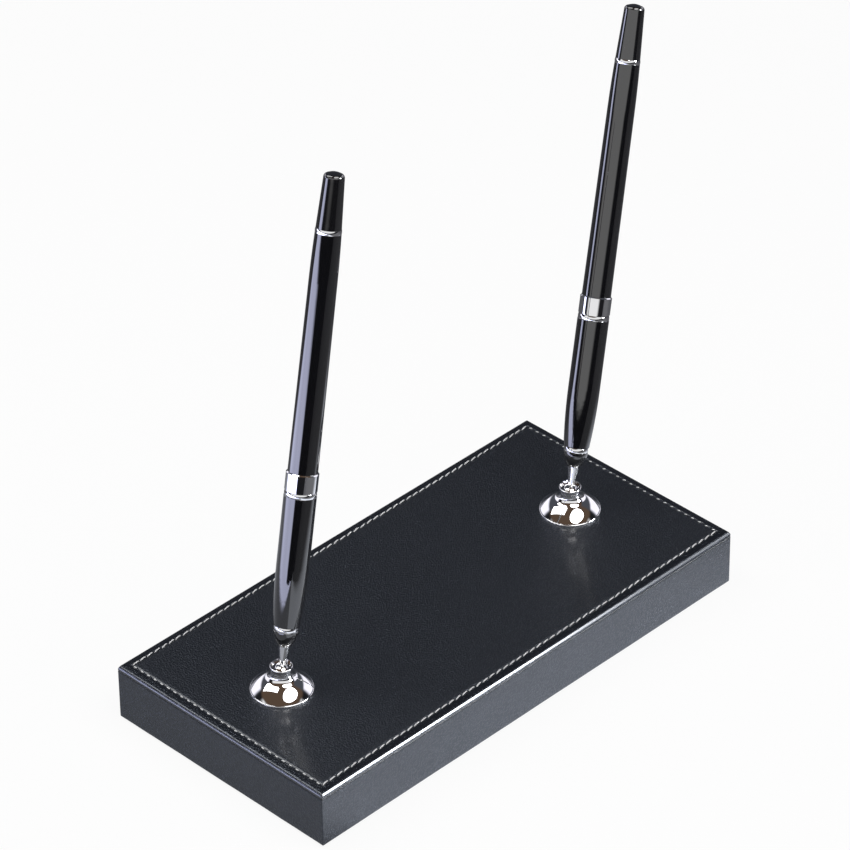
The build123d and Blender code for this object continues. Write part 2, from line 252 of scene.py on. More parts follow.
# %% Room
room_diffuse = 0.2
room_base = (0.012, 0.012, 0.014)
toward_window = 0.953 * np.array(camera_right) + 0.134 * np.array(toward_camera) + (0, 0, 0.269)


def make_room():
    """World whose reflected colour depends on how far a ray looks forward, right and up."""
    world = bpy.data.worlds.new("studio")
    bpy.context.scene.world = world
    world.use_nodes = True
    tree = world.node_tree
    tree.nodes.clear()
    ray = add(tree, "TexCoord").outputs["Generated"]
    front, right, window = (along_axis(tree, ray, axis)
                            for axis in (toward_camera, camera_right, toward_window))
    up = add(tree, "SeparateXYZ", {0: ray}).outputs["Z"]
    sideways = add(tree, "Math", {0: right}, operation="ABSOLUTE").outputs[0]
    below = add(tree, "Math", {0: sideways, 1: -1.11, 2: up}, operation="MULTIPLY_ADD").outputs[0]
    zones = (
        ("brown room", fade(tree, up, 0.50, 0.62), (0.10, 0.066, 0.045)),
        ("dark backdrop", fade(tree, front, -0.15, -0.35), (0.07, 0.075, 0.09)),
        ("table in front", times(tree, times(tree, fade(tree, up, 0.16, 0.24), fade(tree, up, 0.60, 0.54)),
                                 fade(tree, front, 0.05, 0.30)), (0.9, 0.9, 0.9)),
        ("low window at the left", times(tree, fade(tree, up, 0.10, 0.04),
                                         fade(tree, right, -0.50, -0.60)), (3.0, 3.1, 4.2)),
        ("sweep at both sides", times(tree, fade(tree, below, -0.30, -0.42),
                                      fade(tree, front, -0.25, -0.45)), (1.15, 1.13, 1.25)),
        ("window at the right", fade(tree, window, 0.978, 0.984), (22.0, 22.4, 23.0)))
    colour = room_base
    for name, share, tint in zones:
        colour = blend_colours(tree, share, colour, tint)
    print("room zones:", ", ".join(name for name, _, _ in zones))
    seen = add(tree, "Background", {"Color": colour, "Strength": 1.0})
    lit = add(tree, "Background", {"Color": (0.97, 0.98, 1, 1), "Strength": room_diffuse})
    white = add(tree, "Background", {"Color": (1, 1, 1, 1), "Strength": 1.0})
    rays = add(tree, "LightPath")
    glossy = add(tree, "MixShader", {0: rays.outputs["Is Glossy Ray"], 1: lit.outputs[0], 2: seen.outputs[0]})
    all_rays = add(tree, "MixShader", {0: rays.outputs["Is Camera Ray"], 1: glossy.outputs[0],
                                       2: white.outputs[0]})
    output = tree.nodes.new("ShaderNodeOutputWorld")
    tree.links.new(all_rays.outputs[0], output.inputs["Surface"])
    return world


make_room()

# %% [markdown]
# Two large soft lamps light the block from above: a long one on the left and an oval one on the right. Both
# show as clean white shapes in the chrome domes, so their bearings, sizes and tilts come from there. Small
# hard lamps would give sharp shadows and points of light instead. Each has a power that goes with its area,
# so that a colour renders much as it is written.

# %% Lamps
lamp_distance = 1.3


def make_lamp(name, azimuth, elevation, turn, size, brightness, shape):
    """Area lamp on a sphere round the block, facing it and turned in its own plane, in degrees.

    Azimuth counts to the right from the camera's bearing. The power is the brightness times the lamp's area
    times pi, because it shines into a half sphere."""
    bearing, elevation = view_azimuth + radians(azimuth), radians(elevation)
    away = Vector((sin(bearing) * cos(elevation), -cos(bearing) * cos(elevation), sin(elevation)))
    lamp = bpy.data.lights.new(name, "AREA")
    lamp.shape = shape
    lamp.size, lamp.size_y = size
    area = size[0] * size[1] * (pi / 4 if shape == "ELLIPSE" else 1)
    lamp.energy = brightness * area * pi
    holder = bpy.data.objects.new(name, lamp)
    holder.rotation_mode = "QUATERNION"
    holder.rotation_quaternion = away.to_track_quat("Z", "Y") @ Quaternion((0, 0, 1), radians(turn))
    holder.location = away * lamp_distance
    bpy.context.scene.collection.objects.link(holder)
    return holder


strip_lamp = make_lamp("strip_lamp", azimuth=-98, elevation=61, turn=-26, size=(0.46, 1.0), brightness=4.0,
                       shape="RECTANGLE")
oval_lamp = make_lamp("oval_lamp", azimuth=50, elevation=62, turn=0, size=(1.12, 0.74), brightness=4.2,
                      shape="ELLIPSE")
print("lamps", [(lamp.name, round(lamp.data.energy, 1)) for lamp in (strip_lamp, oval_lamp)])

# %% [markdown]
# The block is covered in smooth black leather with a fine grain under a thin finish. A photograph of
# leather could be stretched over it, but a pattern of nodes stays sharp and has no seams: rounded cells are
# the pebbles, finer noise the creases between them, a few steep specks catch the light, and slow waves are
# those of the hide. The border is pressed flat by the presser foot, its outer edge is rubbed shiny, most
# of all towards the left end, and the edge that is tucked under the top stays dull.

# %% Leather
panel_low, panel_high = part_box("top_panel")
rubbed_reach = 1.0 * mm
pressed_reach = 3.3 * mm
shine_ends, shine_starts = 70 * mm, -45 * mm
pebble_size, fine_size, speck_size, wave_size, tint_size = 0.7 * mm, 0.2 * mm, 0.5 * mm, 14 * mm, 9 * mm
pebble_depth, fine_depth, speck_depth, hide_wave_depth = 0.14 * mm, 0.05 * mm, 0.12 * mm, 0.20 * mm
dark_leather, light_leather = (0.0040, 0.0046, 0.0066), (0.0070, 0.0080, 0.0115)
leather_gloss = (0.52, 0.27)
leather_ior = 1.75
worn_roughness, tucked_roughness = 0.6, 0.9


def edge_band(tree, place, reach):
    """1 along the outer edge of the block's top and 0 from reach inwards."""
    away = add(tree, "VectorMath", {0: place}, operation="ABSOLUTE").outputs[0]
    parts = add(tree, "SeparateXYZ", {0: away})
    near_end = fade(tree, parts.outputs["X"], panel_high[0] - reach, panel_high[0] - 0.8 * reach)
    near_side = fade(tree, parts.outputs["Y"], panel_high[1] - reach, panel_high[1] - 0.8 * reach)
    near_top = fade(tree, parts.outputs["Z"], panel_low[2] - 0.1 * mm, panel_low[2] + 0.1 * mm)
    near_edge = add(tree, "Math", {0: near_end, 1: near_side}, operation="MAXIMUM").outputs[0]
    return times(tree, near_edge, near_top)


def tucked_edge(tree, place):
    """1 on the last half millimetre of the side leather, which is tucked under the top and stays dull."""
    height = add(tree, "SeparateXYZ", {0: place}).outputs["Z"]
    return times(tree, fade(tree, height, panel_low[2] - 0.7 * mm, panel_low[2] - 0.45 * mm),
                 fade(tree, height, panel_low[2] + 0.25 * mm, panel_low[2] + 0.05 * mm))


def leather_grain(tree, place, rubbed, pressed):
    """Bumps of the skin, and how domed it is at each point. Both are flatter on the pressed border."""
    drift = add(tree, "TexNoise", {"Vector": place, "Scale": 1 / (1.5 * mm), "Detail": 2.0}).outputs["Color"]
    drift = add(tree, "VectorMath", {0: drift, "Scale": pebble_size / 2}, operation="SCALE").outputs[0]
    wobble = add(tree, "VectorMath", {0: place, 1: drift}, operation="ADD").outputs[0]
    pebbles = add(tree, "TexVoronoi", {"Vector": wobble, "Scale": 1 / pebble_size, "Smoothness": 0.4},
                  feature="SMOOTH_F1").outputs["Distance"]
    domes = fade(tree, pebbles, 0.72, 0.0)
    fine = noise(tree, place, fine_size, 3.0, 0.65)
    specks = fade(tree, noise(tree, place, speck_size, 2.0), 0.64, 0.74)
    grain = times(tree, spread(tree, rubbed, 1.0, 0.4), spread(tree, pressed, 1.0, 0.5))
    normal = bump(tree, noise(tree, place, wave_size, 2.0), hide_wave_depth, 0.5)
    normal = bump(tree, times(tree, domes, grain), pebble_depth, 0.9, normal)
    normal = bump(tree, times(tree, fine, grain), fine_depth, 0.8, normal)
    normal = bump(tree, times(tree, specks, grain), speck_depth, 1.0, normal)
    return normal, domes, fine


def leather_polish(tree, place, domes, fine, rubbed, pressed):
    """Roughness and coat: the tops of the pebbles and the pressed border are the smoothest."""
    polish = add(tree, "Math", {0: spread(tree, domes, *leather_gloss), 1: spread(tree, fine, -0.14, 0.14)},
                 operation="ADD").outputs[0]
    polish = times(tree, polish, spread(tree, pressed, 1.0, 0.5))
    along = add(tree, "SeparateXYZ", {0: place}).outputs["X"]
    shiny = times(tree, rubbed, fade(tree, along, shine_ends, shine_starts))
    worn = add(tree, "Math", {0: rubbed, 1: shiny}, operation="SUBTRACT").outputs[0]
    polish = add(tree, "Mix", {0: worn, 2: polish, 3: worn_roughness}).outputs[0]
    polish = add(tree, "Mix", {0: tucked_edge(tree, place), 2: polish, 3: tucked_roughness}).outputs[0]
    coat = add(tree, "Math", {0: spread(tree, shiny, 0.45, 1.0), 1: times(tree, worn, 0.35)},
               operation="SUBTRACT").outputs[0]
    return polish, coat


def black_leather():
    """Fine pebbled leather under a thin finish, almost black, with a breath of blue.

    The colour is painted darker in the creases between the pebbles, as painted shade.
    """
    material, tree, shader = start_material("black_leather")
    place = place_of(tree)
    rubbed = edge_band(tree, place, rubbed_reach)
    pressed = edge_band(tree, place, pressed_reach)
    normal, domes, fine = leather_grain(tree, place, rubbed, pressed)
    polish, coat = leather_polish(tree, place, domes, fine, rubbed, pressed)
    tint = blend_colours(tree, noise(tree, place, tint_size, 4.0, 0.6), dark_leather, light_leather)
    # Painted shade: the colour is halved in the creases between the pebbles and full on their tops.
    shade = add(tree, "Mix", data_type="RGBA", blend_type="MULTIPLY")
    shade.inputs["Factor"].default_value = 1.0
    tree.links.new(tint, shade.inputs[6])
    tree.links.new(spread(tree, domes, 0.5, 1.0), shade.inputs[7])
    for socket, value in (("Normal", normal), ("Base Color", shade.outputs[2]), ("Roughness", polish),
                          ("Coat Weight", coat)):
        tree.links.new(value, shader.inputs[socket])
    shader.inputs["IOR"].default_value = leather_ior
    shader.inputs["Coat IOR"].default_value = leather_ior
    shader.inputs["Coat Roughness"].default_value = 0.13
    shader.inputs["Specular Tint"].default_value = (0.76, 0.85, 1.0, 1)
    return material


# %% [markdown]
# The seam is sewn with pale twisted polyester. Real thread shows its strands as slanting stripes, which
# would be thousands of faces if they were modelled. A wave pattern in the UV map of each stitch gives the
# same stripes in relief, and in colour as painted shade between the strands, and stays aligned with the
# stitch however it lies.

# %% Thread
painted_strand_shade, thread_white = (0.84, 0.845, 0.85, 1), (0.97, 0.97, 0.97, 1)
strand_depth = 0.05 * mm


def pale_thread():
    """Twisted polyester: slanting strands along each stitch, with painted shade between them and a soft sheen.
    """
    material, tree, shader = start_material("pale_thread")
    turn = add(tree, "UVMap", uv_map="UVMap").outputs[0]
    strands = add(tree, "TexWave", {"Vector": turn, "Scale": 5.0, "Distortion": 0.5, "Detail": 1.0},
                  wave_type="BANDS", bands_direction="DIAGONAL").outputs["Fac"]
    # Painted shade: the colour falls from white on the strands to grey between them.
    tint = add(tree, "Mix", data_type="RGBA")
    tree.links.new(strands, tint.inputs["Factor"])
    tint.inputs[6].default_value = painted_strand_shade
    tint.inputs[7].default_value = thread_white
    tree.links.new(tint.outputs[2], shader.inputs["Base Color"])
    tree.links.new(bump(tree, strands, strand_depth, 0.8), shader.inputs["Normal"])
    shader.inputs["Roughness"].default_value = 0.6
    shader.inputs["Sheen Weight"].default_value = 0.3
    return material


# %% [markdown]
# The holders, rings and tips are chrome plated and almost perfect mirrors, so their look is that of the
# room. Only a trace of cloudiness and turned scratches keeps them from looking computed. Brass and steel
# inside the pens use the same recipe, with their own colour and a rougher polish.

# %% Metals
cloud_size, scratch_size = 4 * mm, 0.09 * mm


def polished_metal(name, colour, roughness, scratch_depth):
    """Polished metal with faint turned scratches and slightly cloudy polish."""
    material, tree, shader = start_material(name)
    place = place_of(tree)
    cloud = noise(tree, place, cloud_size, 3.0)
    hair = noise(tree, place, scratch_size, 4.0, 0.7)
    tree.links.new(bump(tree, hair, scratch_depth, 0.5), shader.inputs["Normal"])
    tree.links.new(spread(tree, cloud, 0.7 * roughness, 1.3 * roughness), shader.inputs["Roughness"])
    tint = add(tree, "Mix", data_type="RGBA")
    tree.links.new(cloud, tint.inputs["Factor"])
    tint.inputs[6].default_value = (*[0.96 * c for c in colour], 1)
    tint.inputs[7].default_value = (*colour, 1)
    tree.links.new(tint.outputs[2], shader.inputs["Base Color"])
    shader.inputs["Metallic"].default_value = 1.0
    return material


# %% [markdown]
# The barrels are brass tube with thick black lacquer, and the noses and caps are polished black plastic. A
# single glossy layer would do, but a clear coat over it makes the reflections stronger towards the edges,
# as in lacquer. Faint orange peel bends them a little. The same cell has the recipe for everything dull:
# felt, board and nylon are two mottled colours with a rough grain.

# %% Lacquer, plastics and dull things
peel_size, dust_size = 1.8 * mm, 0.25 * mm


def gloss_black(name, colour, roughness, orange_peel):
    """Black lacquer or polished plastic: almost a mirror, with a breath of orange peel and dust."""
    material, tree, shader = start_material(name)
    place = place_of(tree)
    peel = noise(tree, place, peel_size, 2.0)
    dust = noise(tree, place, dust_size, 3.0, 0.7)
    tree.links.new(bump(tree, peel, orange_peel, 0.4), shader.inputs["Normal"])
    tree.links.new(spread(tree, dust, 0.7 * roughness, 1.4 * roughness), shader.inputs["Roughness"])
    tint = add(tree, "Mix", data_type="RGBA")
    tree.links.new(dust, tint.inputs["Factor"])
    tint.inputs[6].default_value = (*colour, 1)
    tint.inputs[7].default_value = (*[1.6 * c for c in colour], 1)
    tree.links.new(tint.outputs[2], shader.inputs["Base Color"])
    shader.inputs["IOR"].default_value = 1.7
    shader.inputs["Coat Weight"].default_value = 1.0
    shader.inputs["Coat Roughness"].default_value = 0.02
    return material


def dull_material(name, low, high, cell, depth, roughness):
    """Felt, board or nylon: two mottled colours and a rough grain of about one cell."""
    material, tree, shader = start_material(name)
    place = place_of(tree)
    mottle = noise(tree, place, cell, 5.0, 0.7)
    tint = add(tree, "Mix", data_type="RGBA")
    tree.links.new(mottle, tint.inputs["Factor"])
    tint.inputs[6].default_value = (*low, 1)
    tint.inputs[7].default_value = (*high, 1)
    tree.links.new(tint.outputs[2], shader.inputs["Base Color"])
    tree.links.new(bump(tree, mottle, depth), shader.inputs["Normal"])
    shader.inputs["Roughness"].default_value = roughness
    return material


# %% [markdown]
# Every piece of the frame names a material slot. So the finishes are made once, under the names of the
# slots, and each piece gets the one that it asks for. Setting each piece by hand would be longer and would
# miss one sooner or later.

# %% Dress the frame
finishes = {
    "black_leather": black_leather(),
    "black_felt": dull_material("black_felt", (0.008, 0.008, 0.009), (0.03, 0.03, 0.032), 0.3 * mm,
                                0.2 * mm, 0.95),
    "fibre_board": dull_material("fibre_board", (0.33, 0.22, 0.12), (0.52, 0.4, 0.26), 0.8 * mm,
                                 0.1 * mm, 0.8),
    "chrome": polished_metal("chrome", (0.88, 0.88, 0.89), 0.035, 0.00002 * mm),
    "brass": polished_metal("brass", (0.80, 0.60, 0.28), 0.16, 0.001 * mm),
    "spring_steel": polished_metal("spring_steel", (0.32, 0.33, 0.38), 0.25, 0.001 * mm),
    "zinc_steel": polished_metal("zinc_steel", (0.62, 0.63, 0.62), 0.3, 0.001 * mm),
    "nylon": dull_material("nylon", (0.66, 0.65, 0.58), (0.78, 0.77, 0.71), 0.5 * mm, 0.01 * mm, 0.4),
    "black_plastic": gloss_black("black_plastic", (0.006, 0.006, 0.007), 0.05, 0.002 * mm),
    "black_lacquer": gloss_black("black_lacquer", (0.004, 0.004, 0.005), 0.04, 0.002 * mm),
    "refill_metal": polished_metal("refill_metal", (0.60, 0.60, 0.60), 0.22, 0.001 * mm)}

for part in frame["record"]["subparts"]:
    mesh = nodes[part["node"]].data
    mesh.materials.clear()
    mesh.materials.append(finishes[part["material_slot"]])
print("finishes", len(finishes))

# %% [markdown]
# The top leather is lightly padded, turned over at its edges and sewn down all round, 3.65 mm in from them.
# The frame holds it as a plain plate. Here it is made again as one closed skin: loops run round the block
# like contour lines, from the middle of the underside, over the rolled edge with its flat rubbed facet, up
# the sloping border, down into the crease where the thread lies, and on to the middle of the top. Each
# loop is a rectangle with its own inset and height, so one list of insets and heights is the whole shape,
# and the needle's dents only lower what lies near them. A cloth simulation would be slower and no truer.

# %% Sizes of the seam
half_length, half_width = panel_high[0], panel_high[1]
panel_bottom, panel_top = panel_low[2], panel_high[2]
rim_thickness = 1.7 * mm
border_width = 3.1 * mm
seam_inset = 3.65 * mm
seam_corner = 0.4 * mm
stitch_counts = (59, 28)
steps_per_stitch = 6
seam_steps = tuple(count * steps_per_stitch for count in stitch_counts)
corner_steps = 6
crease_depth = 0.34 * mm
crease_half_width = 0.62 * mm
under_radius = 0.45 * mm
edge_slopes = (90, 78, 68, 61, 59, 57, 55, 42, 28, 14)
edge_lengths = (0.10, 0.09, 0.08, 0.20, 0.30, 0.20, 0.10, 0.09, 0.08)
dent_depth, dent_half_width = 0.16 * mm, 0.55 * mm
print("seam", [round(1000 * (2 * half - 2 * seam_inset) / count, 2) for half, count
               in zip((half_length, half_width), stitch_counts)], "mm a stitch")

# %% Loops round the block


def loop_round(halves, corner, side_steps):
    """Points of a rounded rectangle with these half sizes: each side is a straight run, each corner an arc.

    The run's points are spread evenly, so that a point keeps its place among the stitches on every loop."""
    reach = (halves[0] - corner, halves[1] - corner)
    points = []
    for quarter in range(4):
        along, across = reach[quarter % 2], reach[1 - quarter % 2]
        steps = side_steps[quarter % 2]
        run = np.linspace(-along, along, steps + 1)
        arc = np.linspace(-pi / 2, 0, corner_steps + 1)[1:-1]
        x = np.concatenate([run, along + corner * np.cos(arc)])
        y = np.concatenate([np.full(steps + 1, -across - corner), -across + corner * np.sin(arc)])
        turn = quarter * pi / 2
        points.append(np.stack([x * cos(turn) - y * sin(turn), x * sin(turn) + y * cos(turn)], 1))
    return np.concatenate(points)


def stitch_wave():
    """1 at the points of a loop where the needle goes in, falling to 0 halfway between two holes."""
    waves = []
    for quarter in range(4):
        steps = stitch_counts[quarter % 2] * steps_per_stitch
        phase = np.arange(steps + 1) / steps_per_stitch
        waves.append(np.concatenate([np.cos(pi * phase) ** 8, np.ones(corner_steps - 1)]))
    return np.concatenate(waves)


def panel_profile():
    """Insets and heights from the middle of the underside, over the edge, to the middle of the top.

    The rolled edge is a chain of short steps, each with its own slope, from upright to almost level. The
    border rises in a straight line to the top, and the crease is a bell curve taken off it."""
    turn = np.linspace(0, pi / 2, 5)
    lower_inset = np.array([34 * mm, 6 * mm, 1.2 * mm, *(under_radius * (1 - np.sin(turn)))])
    lower_height = np.array([0, 0, 0, *(under_radius * (1 - np.cos(turn)))]) + panel_bottom
    slope = np.radians(edge_slopes)
    length = np.array([0, *edge_lengths]) * mm
    middle = (slope + np.roll(slope, 1)) / 2
    edge_inset, edge_rise = np.cumsum(length * np.cos(middle)), np.cumsum(length * np.sin(middle))
    upper_inset = np.array([*edge_inset, *(np.arange(1.2, 2.8, 0.3) * mm),
                            *(np.arange(2.8, 4.7, 0.15) * mm), *(np.array([5, 5.5, 6, 7, 9, 12, 20, 34]) * mm)])
    fall = np.clip(1 - upper_inset / border_width, 0, 1)
    upper_height = panel_top - (panel_top - panel_bottom - rim_thickness) * fall
    upper_height -= crease_depth * np.exp(-((upper_inset - seam_inset) / crease_half_width) ** 2)
    upper_height[:len(edge_rise)] += edge_rise - edge_rise[-1]
    return np.concatenate([lower_inset, upper_inset]), np.concatenate([lower_height, upper_height])


# %% [markdown]
# A closed skin in Blender is a list of points and a list of faces that name them. Rows of points make
# quads by arithmetic on their numbers, with no loop over points. Faces have to be listed so that they look
# outwards, and the open ends need caps. Edges sharper than a set angle stay crisp when the rest is smooth.

# %% Skins from loops
sharp_angle = radians(50)


def ring_faces(loops, count):
    """Quads between neighbouring loops of a tube of loops, turned so that they face outwards."""
    low = np.arange(loops - 1)[:, None] * count
    here = np.arange(count)[None, :]
    there = (here + 1) % count
    return np.stack([low + here, low + there, low + count + there, low + count + here], 2).reshape(-1, 4)


def cap_faces(first, flip, side_steps):
    """Closes a loop with a strip from long side to long side and one face at each end."""
    long_steps, short_steps = side_steps
    side = long_steps + corner_steps
    back = side + short_steps + corner_steps
    here = np.arange(long_steps)
    strip = np.stack([here, here + 1, back + long_steps - here - 1, back + long_steps - here], 1) + first
    ends = [list(range(first + long_steps, first + back + 1)),
            [*range(first + back + long_steps, first + 2 * back), first]]
    faces = [list(face) for face in strip] + ends
    return [face[::-1] for face in faces] if flip else faces


def new_piece(name, points, faces, material, body):
    """Mesh object of metres at the origin, smooth, with its finish and the body that it rides on."""
    mesh = bpy.data.meshes.new(name)
    mesh.from_pydata(points, [], faces)
    mesh.polygons.foreach_set("use_smooth", np.ones(len(mesh.polygons), bool))
    mesh.set_sharp_from_angle(angle=sharp_angle)
    mesh.materials.append(material)
    piece = bpy.data.objects.new(name, mesh)
    bpy.context.scene.collection.objects.link(piece)
    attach(piece, body)
    return piece


# %% Top leather


def make_top_leather():
    """Closed skin of the padded top: loops in the shape of the profile, dented where the needle went in.

    A dent is a bell curve across the seam, and along it a high power of a cosine."""
    insets, heights = panel_profile()
    wave = stitch_wave()
    loops = []
    for inset, height in zip(insets, heights):
        pull = dent_depth * np.exp(-((inset - seam_inset) / dent_half_width) ** 2)
        pull *= height > panel_bottom + 1 * mm
        flat = loop_round((half_length - inset, half_width - inset), seam_corner, seam_steps)
        loops.append(np.column_stack([flat, height - pull * wave]))
    count = len(loops[0])
    faces = ring_faces(len(loops), count).tolist()
    faces += cap_faces((len(loops) - 1) * count, False, seam_steps) + cap_faces(0, True, seam_steps)
    piece = new_piece("top_leather", np.concatenate(loops).tolist(), faces, finishes["black_leather"],
                      "stand")
    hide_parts("top_panel")
    return piece


top_leather = make_top_leather()
print("top leather", len(top_leather.data.polygons), "faces")

# %% [markdown]
# The block's four sides are covered with strips of the same leather, glued to the board, folded under it and
# mitred where they meet. Each strip is one closed skin: its cross section is swept along the side, the
# corner is turned over a small radius, and both ends lie in the mitre planes. Glued leather is never quite
# flat, so slow shallow waves run over the faces and die out at the corners. Plain boxes would do for the
# shape, but they would show a hard line where the leather turns.

# %% Side leather
side_bottom, side_top = (corner[2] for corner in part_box("front_leather"))
leather_thickness = half_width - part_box("base_board")[1][1]
fold_thickness = 0.7 * mm
fold_reach = 10.3 * mm
top_radius, bottom_radius, corner_radius = 0.25 * mm, 0.6 * mm, 0.35 * mm
wave_depth = 0.05 * mm
side_stations = 81


def side_section():
    """Insets and heights once round a strip's cross section, which is a wall with a fold at its foot."""
    turn = np.linspace(0, pi / 2, 5)
    wall = np.linspace(side_top - top_radius, side_bottom + bottom_radius, 12)[1:-1]
    top_roll = zip(top_radius * (1 - np.sin(turn)), side_top - top_radius * (1 - np.cos(turn)))
    bottom_roll = zip(bottom_radius * (1 - np.cos(turn)), side_bottom + bottom_radius * (1 - np.sin(turn)))
    under = [(inset, side_bottom) for inset in (4 * mm, 7 * mm, fold_reach)]
    over = [(inset, side_bottom + fold_thickness) for inset in (fold_reach, 7 * mm, 4 * mm, leather_thickness)]
    outline = [(leather_thickness, side_top), *top_roll, *[(0.0, height) for height in wall], *bottom_roll,
               *under, *over, *[(leather_thickness, height) for height in wall[::-2]]]
    return np.array(outline).T


def glued_waves(share, height, phase):
    """Two slow sine waves, never outwards, which die out at both ends, where the share is -1 or 1."""
    waves = 0.6 * np.sin(9 * share + phase + 40 * height) + 0.4 * np.sin(23 * share + 2 * phase - 90 * height)
    return wave_depth * (1 - share ** 8) * (1 + waves)


def side_strip(half_along, half_across, phase):
    """Points of one strip that runs along x at -y, station by station from mitre to mitre.

    Past the straight run the outer face turns through 45 degrees on the corner's radius, while what lies
    deeper goes straight on, and every point of the last station is as far from one face as from the other."""
    inset, height = side_section()
    near_face = np.clip(1 - inset / corner_radius, 0, 1)
    last = half_along - corner_radius - inset + corner_radius * (1 - cos(pi / 4)) * (1 - near_face)
    share = np.linspace(-1, 1, side_stations)[:, None]
    waved = inset + glued_waves(share, height, phase) * np.clip(1 - inset / leather_thickness, 0, 1)
    turn = np.radians([45, 36, 27, 18, 9])[:, None]
    past = corner_radius * np.sin(turn)
    bent = inset + corner_radius * (1 - np.cos(turn)) * near_face
    x = np.concatenate([-last - past, share * last, (last + past)[::-1]])
    depth = np.concatenate([bent, waved, bent[::-1]])
    return np.stack([x, depth - half_across, np.broadcast_to(height, x.shape)], 2)


def make_side_leather():
    """The four strips as one piece, each turned a quarter further round the block."""
    points, faces, first = [], [], 0
    for quarter in range(4):
        along, across = (half_length, half_width)[quarter % 2], (half_width, half_length)[quarter % 2]
        strip = side_strip(along, across, 1.7 * quarter)
        loops, count = strip.shape[:2]
        turn = quarter * pi / 2
        x, y, z = strip.reshape(-1, 3).T
        points.append(np.stack([x * cos(turn) - y * sin(turn), x * sin(turn) + y * cos(turn), z], 1))
        last = first + (loops - 1) * count
        faces += (ring_faces(loops, count) + first).tolist()
        faces += [list(range(first, first + count))[::-1], list(range(last, last + count))]
        first += loops * count
    piece = new_piece("side_leather", np.concatenate(points).tolist(), faces, finishes["black_leather"],
                      "stand")
    for side in ("front", "back", "left", "right"):
        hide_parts(side + "_leather")
    return piece


side_leather = make_side_leather()
print("side leather", len(side_leather.data.polygons), "faces")

# %% [markdown]
# The underside is a pad of black wool felt, glued on, 3 mm in from the sides with cut round corners. It is
# the same kind of skin of loops as the top, only simpler: the cut edge is softly rounded above and below.

# %% Felt pad
felt_low, felt_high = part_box("underside_felt")
felt_steps = (40, 20)
felt_corner = 3.0 * mm
felt_edge = 0.30 * mm
felt_flat = 2 * mm


def make_felt_pad():
    """Flat pad whose upper and lower edges are softly rounded."""
    turn = np.linspace(0, pi / 2, 4)
    inset = felt_edge * (1 - np.sin(turn))
    rise = felt_edge * (1 - np.cos(turn))
    insets = [felt_flat, *inset, *inset[::-1], felt_flat]
    heights = [felt_low[2], *(felt_low[2] + rise), *(felt_high[2] - rise[::-1]), felt_high[2]]
    loops = []
    for inset, height in zip(insets, heights):
        flat = loop_round((felt_high[0] - inset, felt_high[1] - inset), felt_corner - inset, felt_steps)
        loops.append(np.column_stack([flat, np.full(len(flat), height)]))
    count = len(loops[0])
    faces = ring_faces(len(loops), count).tolist()
    faces += cap_faces((len(loops) - 1) * count, False, felt_steps) + cap_faces(0, True, felt_steps)
    piece = new_piece("felt_pad", np.concatenate(loops).tolist(), faces, finishes["black_felt"], "stand")
    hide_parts("underside_felt")
    return piece


felt_pad = make_felt_pad()
print("felt pad", len(felt_pad.data.polygons), "faces")

# %% [markdown]
# Each pen comes apart at its centre band, where a brass sleeve screws into the upper barrel. The frame holds
# it as a plain sleeve at the outside size of its thread. Here it is turned again with a real groove: the
# radius of a lathed outline drops in a V that climbs one pitch in each turn, and fades out at both ends.

# %% Screw threads
sleeve_bore = 2.9 * mm
sleeve_radius = 3.85 * mm
sleeve_flange = 4.15 * mm
sleeve_bottom, sleeve_shoulder, sleeve_top = 56.2 * mm, 63.2 * mm, 72.5 * mm
thread_start, thread_end = 65.3 * mm, 72.1 * mm
thread_pitch = 0.75 * mm
thread_depth = 0.34 * mm
thread_rows, thread_columns = 110, 64
groove_slope, groove_land = 2.6, 0.5
thread_fade_in, thread_fade_out = 0.6 * thread_pitch, 0.3 * thread_pitch


def make_thread(side):
    """Closed outline turned about the pen's axis, which runs from the ball's middle along the lift.

    The groove is deepest where the height in pitches and the turn agree, and a zigzag on both sides of it."""
    joints = {joint["name"]: joint for joint in frame["record"]["behaviour"]["joints"]}
    ball = np.array(joints["tilt_" + side]["pos_m"])
    axis = np.array(joints["lift_" + side]["axis"])
    across = np.cross(axis, (0, 0, 1))
    across /= np.linalg.norm(across)
    climb = np.linspace(thread_start, thread_end, thread_rows)
    lead = sleeve_top - thread_end
    outline = np.array([(sleeve_bore, sleeve_bottom), (sleeve_flange, sleeve_bottom),
                        (sleeve_flange, sleeve_shoulder), (sleeve_radius, sleeve_shoulder),
                        *[(sleeve_radius, height) for height in climb],
                        (sleeve_radius - lead, sleeve_top), (sleeve_bore, sleeve_top)])
    radius, height = outline[:, :1], outline[:, 1:]
    angle = np.arange(thread_columns)[None, :] * tau / thread_columns
    phase = height / thread_pitch - angle / tau
    groove = 1 - np.clip(groove_slope * np.abs(2 * (phase % 1) - 1) - groove_land, 0, 1)
    ends = np.clip((height - thread_start) / thread_fade_in, 0, 1)
    ends = ends * np.clip((thread_end - height) / thread_fade_out, 0, 1)
    radius = radius - thread_depth * groove * ends
    points = (ball + height[..., None] * axis + (radius * np.cos(angle))[..., None] * across
              + (radius * np.sin(angle))[..., None] * np.cross(axis, across))
    loops = len(outline)
    faces = ring_faces(loops + 1, thread_columns) % (loops * thread_columns)
    piece = new_piece("screw_thread_" + side, points.reshape(-1, 3).tolist(), faces.tolist(), finishes["brass"],
                      "pen_lower_" + side)
    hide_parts("thread_sleeve_" + side)
    return piece


for side in sides:
    print("screw thread", side, len(make_thread(side).data.polygons), "faces")

# %% [markdown]
# A lockstitch machine makes every stitch alike: the thread comes up out of one hole, lies on the leather
# with a slight slant, and dives into the next hole, where the needle has pulled a small dent. So one
# stitch is worked out as a bent tube with rounded ends, and numpy sets a copy of it at each place along
# the four sides. Thread seen from along its slant looks like a dash and from across it like a dot.

